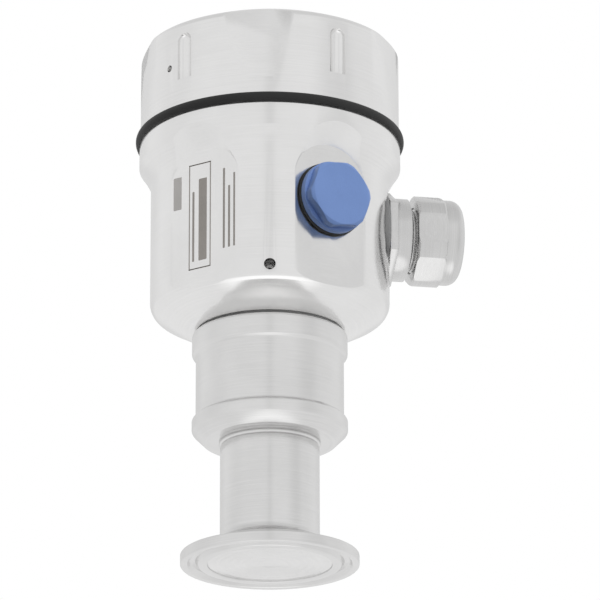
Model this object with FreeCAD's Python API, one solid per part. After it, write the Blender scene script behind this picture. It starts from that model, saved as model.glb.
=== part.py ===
import FreeCAD, Part
import math
import os

# Hygienic pressure transmitter, in millimetres. Z runs up the axis from the sealing face of the
# clamp ferrule, and the cable gland points along +X.

# Fits
slip = 0.05            # radial play of parts that slide or turn in each other
seat_gap = 0.3         # play of parts that only have to clear each other
thread_play = 0.15     # radial play between plain cylinders that stand for a thread

# Clamp ferrule and stem
ferrule_dia = 50.5
ferrule_rim = 2.9
ferrule_taper = 20.0
groove_inset = 3.5     # from the rim to the middle of the gasket groove
groove_dia = ferrule_dia - 2 * groove_inset
groove_width = 3.2
groove_depth = 1.4
stem_dia = 28.2
stem_length = 36.0
stem_fillet = 3.0
weld_groove = 0.7
tenon_step = 3.1
tenon_dia = stem_dia - 2 * tenon_step
tenon_length = 6.0

# Diaphragm and the oil path behind it
diaphragm_land = 2.65  # flat ring between the diaphragm and the gasket groove
diaphragm_dia = groove_dia - groove_width - 2 * diaphragm_land
diaphragm_thick = 0.3
diaphragm_recess = 0.2
oil_gap = 0.3
capillary_dia = 2.4

# Neck
neck_dia = 44.4
neck_length = 32.2
neck_chamfer = 3.3
waist_depth = 1.1
waist_dia = neck_dia - 2 * waist_depth
lower_ring = 3.0
upper_ring = 6.2
ring_slope = 1.0
neck_edge = 0.8
cell_wall = 7.1
cell_bore_dia = waist_dia - 2 * cell_wall

# Measuring cell
cell_height = 14.0
cell_cap_dia = 16.0
cell_cap_height = 3.0

# Spigot on which the housing turns
spigot_flange = 3.0    # what the spigot stands out over the neck's bore
spigot_dia = cell_bore_dia + 2 * spigot_flange
spigot_plug = 8.0
lead_bore_dia = 10.0
lead_dia = 3.6
turn_seal_thick = 0.5
turn_seal_inset = 1.0
turn_seal_dia = neck_dia - 2 * turn_seal_inset
spigot_groove = 1.6
spigot_groove_width = 2.4
spigot_groove_height = 2.0
clip_thick = 1.2
clip_reach = 1.8
clip_groove = 1.2
clip_gap = 6.0
spigot_lip = 1.6

# Housing
housing_foot_step = 0.1
housing_foot_dia = neck_dia + 2 * housing_foot_step
cone_height = 6.4
cone_round = 4.0
housing_dia = 68.6
straight_height = 36.9
collar_step = 3.4
collar_dia = housing_dia + 2 * collar_step
flare_height = 6.7
collar_height = 6.6
floor_thick = 14.3
housing_wall = 11.8
cavity_dia = housing_dia - 2 * housing_wall
ledge_height = 28.0
ledge_width = 4.5
mouth_dia = cavity_dia + 2 * ledge_width
mouth_wall = 3.5
mouth_thread_dia = mouth_dia + 2 * mouth_wall
mouth_thread_length = 11.5
thread_chamfer = 0.8

# Milled flats, entries and the lock screw of the housing
flat_depth = 2.1
flat_distance = housing_dia / 2 - flat_depth
flat_end_radius = 15.5
flat_end_height = 35.2  # above the housing's foot
label_angle = -135.0
plug_angle = -68.0
entry_height = 30.8    # above the housing's foot
spot_depth = 3.4
spot_distance = housing_dia / 2 - spot_depth
spot_dia = 30.0
shank_end_gap = 0.4    # how far the plug and the gland stay back from the cavity
lock_angle = -100.0
lock_height = 9.2      # above the housing's foot
lock_hole_dia = 3.3
lock_screw_length = 8.0
hex_key = 2.0

# Cover and its seal
cover_seal_thick = 2.9
cover_seal_out = 1.1   # what the seal stands out past the collar
cover_seal_dia = collar_dia + 2 * cover_seal_out
cover_inset = 0.3
cover_dia = collar_dia - 2 * cover_inset
cover_rim = 4.8
cover_side = 23.7
cover_shoulder = 2.4   # radius of the round between the side and the dome
cover_dome = 10.5      # rise of the dome over the side
cover_top = 6.9        # thickness in the middle of the dome
cover_inner_round = 6.5
panel_count = 5
panel_depth = 0.3      # at the rim, growing upwards with the lean
panel_distance = cover_dia / 2 - panel_depth
panel_lean = 3.3
flute_angle = 3.2
flute_radius = 2.6
flute_depth = 2.1
flute_start = 3.2      # above the rim
flute_rise = 14.4      # to the middle of the flute's round end
seal_hole_dia = 2.0
seal_hole_depth = 3.0
seal_hole_angle = -150.0
seal_hole_height = 12.4

# Blanking plug
plug_thread_dia = 16.0
plug_seal_dia = 21.6
plug_seal_thick = 1.0
plug_collar_dia = 20.8
plug_collar = 2.0
plug_hex = 18.4
plug_head = 3.2
plug_turn = 20.0

# Cable gland
gland_thread_dia = 20.0
gasket_dia = 28.0
gasket_thick = 2.0
gland_hex = 25.0
gland_flange = 2.5
gland_barrel_dia = 24.0
gland_barrel = 4.2
nut_thread_dia = 19.0
nut_thread_length = 9.5
gland_bore_dia = 13.0
gland_seal_dia = 16.0
gland_seal_length = 7.0
cable_dia = 9.0
clamp_ring_thick = 2.0
nut_hex = 24.8
nut_turned_dia = 26.4
nut_length = 14.0
nut_end_radius = 3.5
nut_dome = 5.5          # length of the turned end past the hexagon
nut_gap = 1.8
nut_mouth_dia = 13.4

# Electronics insert
insert_flange = 2.0
insert_depth = 3.5
insert_wall = 1.6
board_thick = 1.5
board_step = 1.5
insert_screw_dia = 2.5
insert_screw_head_dia = 4.2
insert_screw_head = 1.6
insert_screw_length = 6.0
insert_screw_angles = (60.0, 180.0, 240.0)
wire_way_start = 15.0  # from the axis towards the gland
wire_way_width = 12.0
terminal_size = (24.0, 10.0, 9.0)
terminal_place = (0.0, -7.0)
terminal_count = 3
terminal_pitch = 7.2
terminal_screw_dia = 3.6
terminal_screw_length = 4.0
terminal_well = 5.0
wire_hole_dia = 2.6
key_place = (7.0, 8.5)
key_base_size = (6.0, 6.0, 3.5)
key_dia = 3.0
key_height = 3.0
key_travel = 0.5

# Levels along Z
neck_foot_z = stem_length
neck_top_z = neck_foot_z + neck_length
housing_foot_z = neck_top_z + turn_seal_thick
cone_top_z = housing_foot_z + cone_height
flare_foot_z = cone_top_z + straight_height
collar_foot_z = flare_foot_z + flare_height
collar_top_z = collar_foot_z + collar_height
floor_z = housing_foot_z + floor_thick
ledge_z = floor_z + ledge_height
entry_z = housing_foot_z + entry_height
mouth_z = collar_top_z + mouth_thread_length
cover_foot_z = collar_top_z + cover_seal_thick
cover_rim_z = cover_foot_z + cover_rim
shoulder_z = cover_foot_z + cover_side
cover_top_z = shoulder_z + cover_dome
cell_floor_z = neck_foot_z + tenon_length
board_z = ledge_z + insert_flange

Z_AXIS = FreeCAD.Vector(0, 0, 1)
ORIGIN = FreeCAD.Vector(0, 0, 0)


def turned(*outline):
    """Solid of revolution about Z. Points are (radius, z), and an arc is (through, end)."""
    edges = []
    last = FreeCAD.Vector(outline[0][0], 0, outline[0][1])
    first = last
    for item in outline[1:] + (outline[0],):
        if isinstance(item[0], tuple):
            middle = FreeCAD.Vector(item[0][0], 0, item[0][1])
            end = FreeCAD.Vector(item[1][0], 0, item[1][1])
            edges.append(Part.Arc(last, middle, end).toShape())
        else:
            end = FreeCAD.Vector(item[0], 0, item[1])
            if (end - last).Length > 1e-6:
                edges.append(Part.LineSegment(last, end).toShape())
        last = end
    if (last - first).Length > 1e-6:
        edges.append(Part.LineSegment(last, first).toShape())
    return Part.Face(Part.Wire(edges)).revolve(ORIGIN, Z_AXIS, 360)


def rod(diameter, bottom, top):
    return Part.makeCylinder(diameter / 2, top - bottom, FreeCAD.Vector(0, 0, bottom))


def ring(outer, inner, bottom, top):
    return rod(outer, bottom, top).cut(rod(inner, bottom - 1, top + 1))


def hex_bar(across, bottom, top, turn=0.0):
    """Hexagon bar along Z, with a corner on +X before it is turned."""
    reach = across / 2 / math.cos(math.pi / 6)
    points = []
    for corner in range(7):
        angle = math.radians(60 * corner + turn)
        points.append(FreeCAD.Vector(reach * math.cos(angle), reach * math.sin(angle), bottom))
    face = Part.Face(Part.makePolygon(points))
    return face.extrude(FreeCAD.Vector(0, 0, top - bottom))


def box_at(size, centre, bottom):
    corner = FreeCAD.Vector(centre[0] - size[0] / 2, centre[1] - size[1] / 2, bottom)
    return Part.makeBox(size[0], size[1], size[2], corner)


def radial(shape, angle, height):
    """Lay a shape modelled along +Z so that it points out from the axis."""
    laid = shape.copy()
    laid.rotate(ORIGIN, FreeCAD.Vector(0, 1, 0), 90)
    laid.rotate(ORIGIN, Z_AXIS, angle)
    laid.translate(FreeCAD.Vector(0, 0, height))
    return laid


def around(shape, angles):
    copies = []
    for angle in angles:
        copy = shape.copy()
        copy.rotate(ORIGIN, Z_AXIS, angle)
        copies.append(copy)
    return copies


def moved(shape, x, y, z):
    copy = shape.copy()
    copy.translate(FreeCAD.Vector(x, y, z))
    return copy


def arc_point(centre, radius, degrees):
    angle = math.radians(degrees)
    return (centre[0] + radius * math.cos(angle), centre[1] + radius * math.sin(angle))


def save(name, *shapes):
    shape = shapes[0] if len(shapes) == 1 else Part.makeCompound(list(shapes))
    solids = shape.Solids
    result = solids[0] if len(solids) == 1 else Part.makeCompound(solids)
    if not result.isValid():
        raise ValueError(name + " is not a valid solid")
    result.exportStep("parts/" + name + ".step")
    print(name, len(solids), "solids", round(result.Volume), "mm3")


def make_ferrule():
    rim = ferrule_dia / 2
    stem = stem_dia / 2
    slope = math.tan(math.radians(ferrule_taper))
    # the fillet touches the sloping back and the stem
    centre_r = stem + stem_fillet
    back_z = ferrule_rim + (rim - centre_r) * slope
    centre = (centre_r, back_z + stem_fillet / math.cos(math.radians(ferrule_taper)))
    fillet_start = arc_point(centre, stem_fillet, 270 - ferrule_taper)
    fillet_middle = arc_point(centre, stem_fillet, 225 - ferrule_taper / 2)
    fillet_end = (stem, centre[1])
    groove_z = stem_length - weld_groove
    body = turned(
        (0, 0), (rim, 0), (rim, ferrule_rim), fillet_start,
        (fillet_middle, fillet_end),
        (stem, groove_z - weld_groove), (stem - weld_groove, groove_z),
        (stem - weld_groove, stem_length), (tenon_dia / 2, stem_length),
        (tenon_dia / 2, cell_floor_z), (0, cell_floor_z),
    )
    half = groove_width / 2
    middle = groove_dia / 2
    groove = turned(
        (middle - half, 0), (middle - half / 2, groove_depth),
        (middle + half / 2, groove_depth), (middle + half, 0),
    )
    pocket = rod(diaphragm_dia + 2 * slip, -1, diaphragm_recess + diaphragm_thick + oil_gap)
    oil_hole = rod(capillary_dia + 2 * slip, -1, cell_floor_z + 1)
    save("ferrule", body.cut(groove).cut(pocket).cut(oil_hole))


def make_oil_path():
    bottom = diaphragm_recess
    top = bottom + diaphragm_thick
    save("diaphragm", rod(diaphragm_dia, bottom, top))
    tube = ring(capillary_dia, capillary_dia / 2, top + oil_gap, cell_floor_z)
    save("capillary", tube)


def make_neck():
    ring_r = neck_dia / 2
    waist_r = waist_dia / 2
    foot_r = ring_r - neck_chamfer
    chamfer_z = neck_foot_z + neck_chamfer
    waist_foot = chamfer_z + lower_ring
    waist_top = neck_top_z - upper_ring
    body = turned(
        (0, neck_foot_z), (foot_r, neck_foot_z), (ring_r, chamfer_z), (ring_r, waist_foot),
        (waist_r, waist_foot + ring_slope), (waist_r, waist_top - ring_slope),
        (ring_r, waist_top), (ring_r, neck_top_z - neck_edge), (ring_r - neck_edge, neck_top_z),
        (0, neck_top_z),
    )
    tenon_hole = rod(tenon_dia + 2 * slip, neck_foot_z - 1, cell_floor_z + 1)
    cell_bore = rod(cell_bore_dia, cell_floor_z, neck_top_z + 1)
    save("neck", body.cut(tenon_hole).cut(cell_bore))


def make_cell():
    can = rod(cell_bore_dia - 2 * slip, cell_floor_z, cell_floor_z + cell_height)
    cap = rod(cell_cap_dia, cell_floor_z + cell_height, cell_floor_z + cell_height + cell_cap_height)
    save("measuring_cell", can.fuse(cap).removeSplitter())
    lead_foot = cell_floor_z + cell_height + cell_cap_height
    save("sensor_lead", rod(lead_dia, lead_foot, ledge_z - insert_depth))


def make_spigot():
    outer = spigot_dia / 2
    plug_r = cell_bore_dia / 2 - slip
    clip_z = floor_z + seat_gap
    top = clip_z + clip_thick + spigot_lip
    groove_z = housing_foot_z + spigot_groove_height
    body = turned(
        (lead_bore_dia / 2, neck_top_z - spigot_plug), (plug_r, neck_top_z - spigot_plug),
        (plug_r, neck_top_z), (outer - slip, neck_top_z), (outer - slip, groove_z),
        (outer - spigot_groove, groove_z), (outer - spigot_groove, groove_z + spigot_groove_width),
        (outer - slip, groove_z + spigot_groove_width), (outer - slip, clip_z),
        (outer - clip_groove, clip_z), (outer - clip_groove, clip_z + clip_thick),
        (outer - slip, clip_z + clip_thick), (outer - slip, top), (lead_bore_dia / 2, top),
    )
    save("swivel_spigot", body)
    save("spigot_seal", ring(spigot_dia - 2 * slip, spigot_dia - 2 * spigot_groove,
                             groove_z, groove_z + spigot_groove_width))
    clip = ring(spigot_dia + 2 * clip_reach, spigot_dia - 2 * clip_groove, clip_z, clip_z + clip_thick)
    reach = spigot_dia / 2 + clip_reach
    gap_centre = (reach / 2 + lead_bore_dia / 2, 0)
    gap = box_at((reach, clip_gap, 2 * clip_thick), gap_centre, clip_z - clip_thick / 2)
    gap.rotate(ORIGIN, Z_AXIS, 90)
    save("retaining_ring", clip.cut(gap))
    save("turn_seal", ring(turn_seal_dia, spigot_dia + 2 * slip, neck_top_z, housing_foot_z))


def milled_flat(angle):
    """Cutter of a flat that runs out at the foot and has a round upper end."""
    deep = collar_dia
    lower = Part.makeBox(flat_end_height + cone_height, 2 * flat_end_radius, deep,
                         FreeCAD.Vector(0, -flat_end_radius, flat_distance))
    upper = rod(2 * flat_end_radius, flat_distance, flat_distance + deep)
    return radial(lower.fuse(upper), angle, housing_foot_z + flat_end_height)


def make_housing():
    foot_r = housing_foot_dia / 2
    wall_r = housing_dia / 2
    collar_r = collar_dia / 2
    thread_r = mouth_thread_dia / 2
    # the flare leaves the wall tangentially and meets the collar
    flare_out = collar_r - wall_r
    flare_radius = (flare_height ** 2 + flare_out ** 2) / (2 * flare_out)
    half_turn = math.degrees(math.asin(flare_height / flare_radius)) / 2
    flare_middle = arc_point((wall_r + flare_radius, flare_foot_z), flare_radius, 180 - half_turn)
    # the cone runs into the wall in a round
    turn = 90 - math.degrees(math.atan2(cone_height, wall_r - foot_r))
    tangent = cone_round * math.tan(math.radians(turn / 2))
    round_centre = (wall_r - cone_round, cone_top_z + tangent)
    round_start = arc_point(round_centre, cone_round, -turn)
    round_middle = arc_point(round_centre, cone_round, -turn / 2)
    body = turned(
        (0, housing_foot_z), (foot_r, housing_foot_z), round_start,
        (round_middle, (wall_r, round_centre[1])), (wall_r, flare_foot_z),
        (flare_middle, (collar_r, collar_foot_z)), (collar_r, collar_top_z),
        (thread_r, collar_top_z), (thread_r, mouth_z - thread_chamfer),
        (thread_r - thread_chamfer, mouth_z), (0, mouth_z),
    )
    cuts = [
        rod(spigot_dia, housing_foot_z - 1, floor_z + 1),
        rod(cavity_dia, floor_z, ledge_z + 1),
        rod(mouth_dia, ledge_z, mouth_z + 1),
        milled_flat(label_angle),
        milled_flat(plug_angle),
        radial(rod(plug_thread_dia, 0, housing_dia), plug_angle, entry_z),
        radial(rod(gland_thread_dia, 0, housing_dia), 0, entry_z),
        radial(rod(spot_dia, spot_distance, housing_dia), 0, entry_z),
        radial(rod(lock_hole_dia, 0, housing_dia), lock_angle, housing_foot_z + lock_height),
    ]
    screw_r = (cavity_dia + mouth_dia) / 4
    hole = moved(rod(insert_screw_dia, ledge_z - insert_screw_length - seat_gap, ledge_z + 1), screw_r, 0, 0)
    cuts += around(hole, insert_screw_angles)
    for cut in cuts:
        body = body.cut(cut)
    save("housing", body)


def make_lock_screw():
    tip = spigot_dia / 2
    screw = rod(lock_hole_dia - 2 * slip, tip, tip + lock_screw_length)
    socket = hex_bar(hex_key, tip + lock_screw_length - hex_key, tip + lock_screw_length + 1)
    save("lock_screw", radial(screw.cut(socket), lock_angle, housing_foot_z + lock_height))


def make_cover():
    side = cover_dia / 2
    bore_r = mouth_thread_dia / 2 + thread_play
    bore_top = mouth_z + 2 * seat_gap
    inside_r = mouth_dia / 2
    ceiling = cover_top_z - cover_top
    inner_corner = (inside_r - cover_inner_round, ceiling - cover_inner_round)
    inner_middle = arc_point(inner_corner, cover_inner_round, 45)
    # the dome is part of a sphere centred on the axis, which the shoulder's round runs into
    corner = (side - cover_shoulder, shoulder_z)
    dome_radius = corner[0] ** 2 + cover_dome ** 2 - cover_shoulder ** 2
    dome_radius /= 2 * (cover_dome - cover_shoulder)
    dome_centre = (0, cover_top_z - dome_radius)
    slope = math.degrees(math.asin(corner[0] / (dome_radius - cover_shoulder)))
    shoulder_middle = arc_point(corner, cover_shoulder, (90 - slope) / 2)
    shoulder_end = arc_point(corner, cover_shoulder, 90 - slope)
    dome_middle = arc_point(dome_centre, dome_radius, 90 - slope / 2)
    body = turned(
        (0, ceiling), (inner_corner[0], ceiling), (inner_middle, (inside_r, inner_corner[1])),
        (inside_r, bore_top), (bore_r, bore_top), (bore_r, cover_foot_z), (side, cover_foot_z),
        (side, shoulder_z), (shoulder_middle, shoulder_end), (dome_middle, (0, cover_top_z)),
    )
    pitch = 360.0 / panel_count
    angles = [flute_angle + pitch * number for number in range(panel_count)]
    panel = Part.makeBox(2 * side, 2 * side, cover_top_z, FreeCAD.Vector(panel_distance, -side, cover_rim_z))
    panel.rotate(FreeCAD.Vector(panel_distance, 0, cover_rim_z), FreeCAD.Vector(0, 1, 0), -panel_lean)
    keep_rim = rod(3 * cover_dia, cover_rim_z - cover_dia, cover_rim_z)
    panel = panel.cut(keep_rim)
    panels = around(panel, [angle + pitch / 2 for angle in angles])
    flute_end = FreeCAD.Vector(0, 0, cover_rim_z + flute_rise)
    groove = rod(2 * flute_radius, cover_rim_z + flute_start, flute_end.z)
    groove = groove.fuse(Part.makeSphere(flute_radius, flute_end))
    flutes = around(moved(groove, side - flute_depth + flute_radius, 0, 0), angles)
    hole = radial(rod(seal_hole_dia, panel_distance - seal_hole_depth, cover_dia),
                  seal_hole_angle, cover_foot_z + seal_hole_height)
    for cut in panels + flutes + [hole]:
        body = body.cut(cut)
    save("cover", body)


def make_cover_seal():
    outer = cover_seal_dia / 2
    inner = mouth_thread_dia / 2 + thread_play
    edge = cover_seal_thick / 3
    middle = (collar_top_z + cover_foot_z) / 2
    save("cover_seal", turned(
        (inner, collar_top_z), (outer - edge, collar_top_z),
        ((outer, middle), (outer - edge, cover_foot_z)), (inner, cover_foot_z),
    ))


def make_plug():
    seat = flat_distance
    seal_top = seat + plug_seal_thick
    collar_top = seal_top + plug_collar
    head_top = collar_top + plug_head
    shank = rod(plug_thread_dia - 2 * slip, cavity_dia / 2 + shank_end_gap, seal_top)
    collar = rod(plug_collar_dia, seal_top, collar_top)
    edge = plug_head / 6
    turned_r = plug_hex / 2 / math.cos(math.pi / 6)
    head = hex_bar(plug_hex, collar_top, head_top, plug_turn)
    trim = turned((0, collar_top), (turned_r, collar_top), (turned_r, head_top - edge),
                  (turned_r - 2 * edge, head_top), (0, head_top))
    body = shank.fuse(collar).fuse(head.common(trim)).removeSplitter()
    save("blanking_plug", radial(body, plug_angle, entry_z))
    save("plug_seal", radial(ring(plug_seal_dia, plug_thread_dia, seat, seal_top), plug_angle, entry_z))


def make_gland():
    seat = spot_distance
    flange_foot = seat + gasket_thick
    barrel_foot = flange_foot + gland_flange
    barrel_top = barrel_foot + gland_barrel
    thread_top = barrel_top + nut_thread_length
    shank_r = gland_thread_dia / 2 - slip
    seal_foot = thread_top - gland_seal_length
    nut_foot = barrel_top + nut_gap
    nut_top = nut_foot + nut_length
    clamp_top = thread_top + clamp_ring_thick

    flange = hex_bar(gland_hex, flange_foot, barrel_foot)
    shank = rod(2 * shank_r, cavity_dia / 2 + shank_end_gap, flange_foot)
    barrel = rod(gland_barrel_dia, barrel_foot, barrel_top)
    thread = rod(nut_thread_dia, barrel_top, thread_top)
    bore = rod(gland_bore_dia, 0, nut_top)
    seal_seat = rod(gland_seal_dia, seal_foot, nut_top)
    body = flange.fuse([shank, barrel, thread]).removeSplitter().cut(bore).cut(seal_seat)
    save("gland_body", radial(body, 0, entry_z))

    gasket = ring(gasket_dia, gland_thread_dia, seat, flange_foot)
    save("gland_gasket", radial(gasket, 0, entry_z))

    seal = ring(gland_seal_dia - 2 * slip, cable_dia, seal_foot, thread_top)
    save("gland_seal", radial(seal, 0, entry_z))

    clamp = ring(nut_thread_dia - 2 * slip, nut_mouth_dia, thread_top, clamp_top)
    save("gland_clamp", radial(clamp, 0, entry_z))

    nut_r = nut_turned_dia / 2
    dome_r = nut_hex / 2
    dome_foot = nut_top - nut_dome
    end = (dome_r - nut_end_radius, nut_top - nut_end_radius)
    bore_r = nut_thread_dia / 2 + thread_play
    trim = turned(
        (bore_r, nut_foot), (nut_r, nut_foot), (nut_r, dome_foot), (dome_r, dome_foot), (dome_r, end[1]),
        (arc_point(end, nut_end_radius, 45), (end[0], nut_top)),
        (nut_mouth_dia / 2, nut_top), (nut_mouth_dia / 2, clamp_top), (bore_r, clamp_top),
    )
    nut = hex_bar(nut_hex, nut_foot, nut_top).common(trim)
    save("gland_nut", radial(nut, 0, entry_z))


def make_insert():
    flange_r = mouth_dia / 2 - seat_gap
    dish_r = cavity_dia / 2 - seat_gap
    foot = ledge_z - insert_depth
    board_r = dish_r - insert_wall
    dish = rod(2 * flange_r, ledge_z, board_z).fuse(rod(2 * dish_r, foot, ledge_z)).removeSplitter()
    dish = dish.cut(rod(2 * board_r, board_z - board_step, board_z + 1))
    dish = dish.cut(rod(2 * (board_r - insert_wall), foot + insert_wall, board_z + 1))
    screw_r = (cavity_dia + mouth_dia) / 4
    hole = moved(rod(insert_screw_dia + 2 * slip, foot, board_z + 1), screw_r, 0, 0)
    # wires come up from the gland through a slot in the dish and the board
    wire_way = Part.makeBox(mouth_dia, wire_way_width, board_z - foot + 2,
                            FreeCAD.Vector(wire_way_start, -wire_way_width / 2, foot - 1))
    for cut in around(hole, insert_screw_angles) + [wire_way]:
        dish = dish.cut(cut)
    save("electronics_insert", dish)

    board_foot = board_z - board_step
    board_top = board_foot + board_thick
    save("circuit_board", rod(2 * (board_r - slip), board_foot, board_top).cut(wire_way))

    thread = rod(insert_screw_dia - 2 * slip, ledge_z - insert_screw_length, board_z)
    head = rod(insert_screw_head_dia, board_z, board_z + insert_screw_head)
    cross = box_at((insert_screw_head_dia / 6, insert_screw_head_dia, insert_screw_head), (0, 0),
                   board_z + insert_screw_head / 2)
    screw = moved(thread.fuse(head).removeSplitter().cut(cross), screw_r, 0, 0)
    save("insert_screws", *around(screw, insert_screw_angles))
    return board_top


def make_terminals(board_top):
    size = terminal_size
    top = board_top + size[2]
    block = box_at(size, terminal_place, board_top)
    wires = []
    screws = []
    for number in range(terminal_count):
        x = terminal_place[0] + (number - (terminal_count - 1) / 2) * terminal_pitch
        y = terminal_place[1]
        block = block.cut(moved(rod(terminal_screw_dia + 2 * slip, top - terminal_well, top + 1), x, y, 0))
        wire_z = board_top + (size[2] - terminal_well) / 2
        wire = Part.makeCylinder(wire_hole_dia / 2, size[1], FreeCAD.Vector(x, y - size[1], wire_z),
                                 FreeCAD.Vector(0, 1, 0))
        wires.append(wire)
        foot = top - terminal_well
        screw = rod(terminal_screw_dia, foot, foot + terminal_screw_length)
        slot = box_at((terminal_screw_dia / 5, terminal_screw_dia + 1, 1), (0, 0),
                      foot + terminal_screw_length - terminal_screw_dia / 4)
        screws.append(moved(screw.cut(slot), x, y, 0))
    for wire in wires:
        block = block.cut(wire)
    save("terminal_block", block)
    save("terminal_screws", *screws)


def make_keys(board_top):
    bases = []
    for side, name in ((-1, "zero_key"), (1, "span_key")):
        place = (side * key_place[0], key_place[1])
        base_top = board_top + key_base_size[2]
        foot = base_top - key_height / 2
        hole = rod(key_dia + 2 * slip, foot - key_travel - seat_gap, base_top + 1)
        hole = moved(hole, place[0], place[1], 0)
        bases.append(box_at(key_base_size, place, board_top).cut(hole))
        save(name, moved(rod(key_dia, foot, foot + key_height), place[0], place[1], 0))
    save("key_bases", *bases)


os.makedirs("parts", exist_ok=True)
make_ferrule()
make_oil_path()
make_neck()
make_cell()
make_spigot()
make_housing()
make_lock_screw()
make_cover()
make_cover_seal()
make_plug()
make_gland()
board_surface = make_insert()
make_terminals(board_surface)
make_keys(board_surface)
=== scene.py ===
import bpy
import bmesh
import math
from mathutils import Matrix, Vector


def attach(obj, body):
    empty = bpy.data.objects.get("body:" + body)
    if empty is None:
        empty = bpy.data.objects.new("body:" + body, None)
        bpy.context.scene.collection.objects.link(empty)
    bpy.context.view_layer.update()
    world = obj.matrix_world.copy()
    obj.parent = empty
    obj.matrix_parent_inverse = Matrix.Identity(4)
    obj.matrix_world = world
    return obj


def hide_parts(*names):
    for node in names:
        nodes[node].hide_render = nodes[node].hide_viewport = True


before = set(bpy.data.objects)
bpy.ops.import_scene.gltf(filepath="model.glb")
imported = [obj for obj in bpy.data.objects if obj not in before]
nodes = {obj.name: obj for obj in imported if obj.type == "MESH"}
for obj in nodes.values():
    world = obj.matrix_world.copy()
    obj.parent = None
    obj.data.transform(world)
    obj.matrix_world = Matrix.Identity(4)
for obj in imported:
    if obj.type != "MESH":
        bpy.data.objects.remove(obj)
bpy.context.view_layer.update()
mm = 0.001
mergeSet = {"outline": 0.0005, "seam": 0.002, "cuts": 0.01}  # millimetres
print("frame loaded:", len(nodes), "nodes")


# modelling helpers, sizes in millimetres

def clearSelection():
    if bpy.context.object and bpy.context.object.mode != "OBJECT":
        bpy.ops.object.mode_set(mode="OBJECT")
    bpy.ops.object.select_all(action="DESELECT")


def makeActive(piece):
    clearSelection()
    piece.select_set(True)
    bpy.context.view_layer.objects.active = piece


def openEdit(piece, mode="VERT"):
    makeActive(piece)
    bpy.ops.object.mode_set(mode="EDIT")
    bpy.ops.mesh.select_mode(type=mode)
    bpy.ops.mesh.select_all(action="DESELECT")
    return bmesh.from_edit_mesh(piece.data)


def selectAll():
    bpy.ops.mesh.select_all(action="SELECT")


def closeEdit():
    bpy.ops.object.mode_set(mode="OBJECT")


def closeOutward():
    selectAll()
    bpy.ops.mesh.normals_make_consistent(inside=False)
    closeEdit()


def applyPlace():
    bpy.ops.object.transform_apply(location=True, rotation=True, scale=True)


def newPiece(name):
    # names the primitive that was just added and puts its place into its mesh
    piece = bpy.context.object
    piece.name = name
    applyPlace()
    return piece


def pick(mesh, elements, test):
    # selects edges, faces or vertices by place; test gets the centre in mm and the element
    for element in elements:
        if hasattr(element, "co"):
            centre = element.co
        else:
            centre = sum((v.co for v in element.verts), Vector()) / len(element.verts)
        if test(centre * 1000, element):
            element.select_set(True)
    mesh.select_flush_mode()


def arcPoints(centre, radius, start, end, count):
    points = []
    for step in range(count + 1):
        angle = math.radians(start + (end - start) * step / count)
        points.append((centre[0] + radius * math.cos(angle), centre[1] + radius * math.sin(angle)))
    return points


def ringOutline(inner, outer, bottom, top):
    return [(inner, bottom), (outer, bottom), (outer, top), (inner, top)]


toothShares = (0.08, 0.46, 0.58, 0.96)  # where a tooth's corners lie, in parts of the pitch


def threadOutline(core, crest, bottom, top, pitch):
    points = []
    for number in range(int((top - bottom) / pitch)):
        z = bottom + number * pitch
        points += [(r, z + share * pitch) for r, share in zip((core, crest, crest, core), toothShares)]
    return points


def turnPiece(name, outline, steps=128):
    # one vertex is drawn along the outline (radius, z), then spun round the z axis;
    # an outline that starts on the axis isn't closed
    clearSelection()
    bpy.ops.mesh.primitive_plane_add(size=mm)
    piece = bpy.context.object
    piece.name = name
    bpy.ops.object.mode_set(mode="EDIT")
    bpy.ops.mesh.select_mode(type="VERT")
    selectAll()
    bpy.ops.mesh.merge(type="CENTER")
    last = (0.0, 0.0)
    path = outline + ([outline[0]] if outline[0][0] > 0 else [])
    for number, point in enumerate(path):
        shift = ((point[0] - last[0]) * mm, 0, (point[1] - last[1]) * mm)
        if number == 0:
            bpy.ops.transform.translate(value=shift)
        else:
            bpy.ops.mesh.extrude_region_move(TRANSFORM_OT_translate={"value": shift})
        last = point
    selectAll()
    bpy.ops.mesh.remove_doubles(threshold=mergeSet["outline"] * mm)
    bpy.ops.mesh.spin(steps=steps, angle=2 * math.pi, center=(0, 0, 0), axis=(0, 0, 1))
    selectAll()
    bpy.ops.mesh.remove_doubles(threshold=mergeSet["seam"] * mm)
    closeOutward()
    return piece


def barPiece(name, across, bottom, top, sides=6, turn=0.0):
    # bar of a hexagon or circle along z, with a corner on +x before the turn
    clearSelection()
    radius = across / 2 / math.cos(math.pi / sides) if sides == 6 else across / 2
    bpy.ops.mesh.primitive_cylinder_add(vertices=sides, radius=radius * mm, depth=(top - bottom) * mm,
                                        location=(0, 0, (top + bottom) / 2 * mm),
                                        rotation=(0, 0, math.radians(turn + 90)))
    return newPiece(name)


def boxPiece(name, size, centre):
    clearSelection()
    bpy.ops.mesh.primitive_cube_add(size=mm, location=Vector(centre) * mm)
    bpy.context.object.scale = size
    return newPiece(name)


def turnBy(piece, degrees, axis="Z", about=(0, 0, 0)):
    makeActive(piece)
    turn = Matrix.Rotation(math.radians(degrees), 4, axis)
    place = Matrix.Translation(Vector(about) * mm)
    piece.matrix_world = place @ turn @ place.inverted() @ piece.matrix_world
    applyPlace()
    return piece


def moveBy(piece, shift):
    makeActive(piece)
    piece.location = Vector(shift) * mm
    applyPlace()
    return piece


def layRadial(piece, angle, height):
    # a piece modelled along +z points out from the axis at that angle and height
    turnBy(piece, 90, "Y")
    turnBy(piece, angle, "Z")
    return moveBy(piece, (0, 0, height))


def joinPieces(pieces, name):
    clearSelection()
    for piece in pieces:
        piece.select_set(True)
    bpy.context.view_layer.objects.active = pieces[0]
    bpy.ops.object.join()
    pieces[0].name = name
    return pieces[0]


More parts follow.
